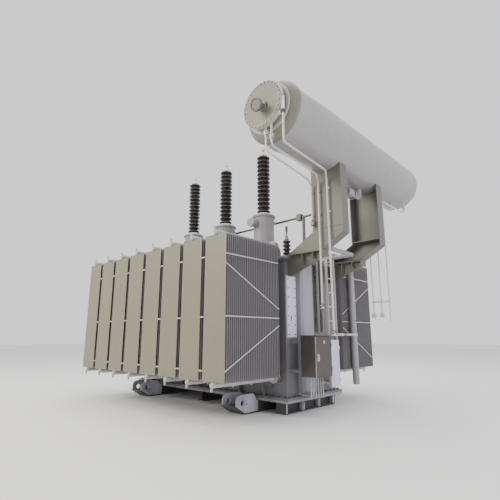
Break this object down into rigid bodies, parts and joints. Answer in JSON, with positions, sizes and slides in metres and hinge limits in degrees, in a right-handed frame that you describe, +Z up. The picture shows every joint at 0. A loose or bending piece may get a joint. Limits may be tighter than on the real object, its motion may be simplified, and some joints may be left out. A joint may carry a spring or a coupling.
{
  "type": "power transformer",
  "caption": "Oil-filled power transformer with ribbed radiator banks on both long sides, porcelain bushings on turrets and a drum conservator raised on channel legs.",
  "frame": {"origin": "on the ground under the middle of the tank", "axes": "+X towards the conservator end, -Y towards the high-voltage bushings, +Z up"},
  "size_m": [6.346, 5.247, 5.652],
  "materials": {
    "tank_paint": "satin",
    "radiator_paint": "satin",
    "drum_paint": "satin",
    "skid_paint": "satin",
    "pipe_paint": "satin",
    "guard_paint": "satin",
    "porcelain": "gloss",
    "bright_metal": "satin",
    "cabinet_steel": "brushed",
    "gauge_case": "satin"
  },
  "bodies": {
    "transformer": {"base_plate": "tank_paint", "tank_bell": "tank_paint", "tank_cover": "tank_paint", "side_ribs": "tank_paint", "end_columns": "tank_paint", "hand_hole_cover": "tank_paint", "jacking_lugs": "tank_paint", "hv_turrets": "tank_paint", "ct_terminal_box": "tank_paint", "relief_valve": "tank_paint", "relief_duct": "tank_paint", "front_leg": "tank_paint", "rear_leg": "tank_paint", "front_bracket": "tank_paint", "rear_bracket": "tank_paint", "end_beams": "skid_paint", "towing_skids": "skid_paint", "middle_skid": "skid_paint", "front_radiators": "radiator_paint", "rear_radiators": "radiator_paint", "front_radiator_valves": "radiator_paint", "rear_radiator_valves": "radiator_paint", "front_radiator_braces": "radiator_paint", "rear_radiator_braces": "radiator_paint", "conservator_shell": "drum_paint", "conservator_front_head": "drum_paint", "conservator_rear_head": "drum_paint", "conservator_end_cover": "drum_paint", "main_oil_pipe": "pipe_paint", "gas_header_pipe": "pipe_paint", "conservator_down_pipes": "pipe_paint", "rear_down_pipes": "pipe_paint", "drain_pipes": "pipe_paint", "cabinet_conduits": "pipe_paint", "cable_tray": "pipe_paint", "ladder": "pipe_paint", "hv_porcelains": "porcelain", "small_bushing_porcelain": "porcelain", "hv_bushing_flanges": "bright_metal", "hv_terminals": "bright_metal", "small_bushing_flange": "bright_metal", "small_bushing_terminal": "bright_metal", "cabinet_body": "cabinet_steel", "cabinet_arms": "cabinet_steel", "oil_level_gauge": "gauge_case", "gas_relay": "gauge_case"},
    "door_leaf": {"cabinet_door": "cabinet_steel", "cabinet_handle": "bright_metal", "cabinet_door_vent": "bright_metal"},
    "guard_leaf": {"ladder_guard": "guard_paint"}
  },
  "joints": [
    {"name": "cabinet_door_hinge", "type": "hinge", "parent": "transformer", "child": "door_leaf", "pos_m": [2.937, -0.231, 1], "axis": [0, 0, 1], "range_deg": [0, 115]},
    {"name": "ladder_guard_hinge", "type": "hinge", "parent": "transformer", "child": "guard_leaf", "pos_m": [2.604, 0.611, 0.85], "axis": [0, 0, 1], "range_deg": [0, 150]}
  ]
}
